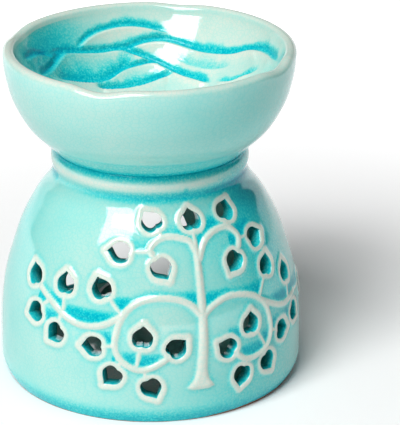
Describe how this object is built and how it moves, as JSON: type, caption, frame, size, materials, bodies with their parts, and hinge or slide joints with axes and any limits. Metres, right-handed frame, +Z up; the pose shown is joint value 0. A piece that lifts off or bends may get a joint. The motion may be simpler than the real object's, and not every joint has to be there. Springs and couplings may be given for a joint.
{
  "type": "essential_oil_burner",
  "caption": "Celadon glazed essential oil burner: a pierced dome with a raised tree and leaf-shaped holes carries a shallow bowl over a tealight that goes in through a door at the back.",
  "frame": {"origin": "On the burner's axis, at the table", "axes": "+Z is up, the middle of the raised tree faces -Y, and the door for the tealight is in the back, towards +Y"},
  "size_m": [0.11, 0.1112, 0.1222],
  "materials": {
    "glaze": "glossy celadon crackle glaze, cream over the relief and turquoise where it pools",
    "cup": "thin bright foil",
    "wax": "white candle wax, slightly translucent",
    "wick": "waxed cotton braid"
  },
  "bodies": {
    "burner": {"stand": "glaze", "bowl": "glaze"},
    "tealight": {"tealight_cup": "cup", "tealight_wax": "wax", "wick_sustainer": "cup", "wick": "wick"}
  },
  "joints": [
    {"name": "tealight_slide", "type": "slide", "parent": "burner", "child": "tealight", "axis": [0.1045, 0.9945, 0], "range_m": [0, 0.08]}
  ]
}
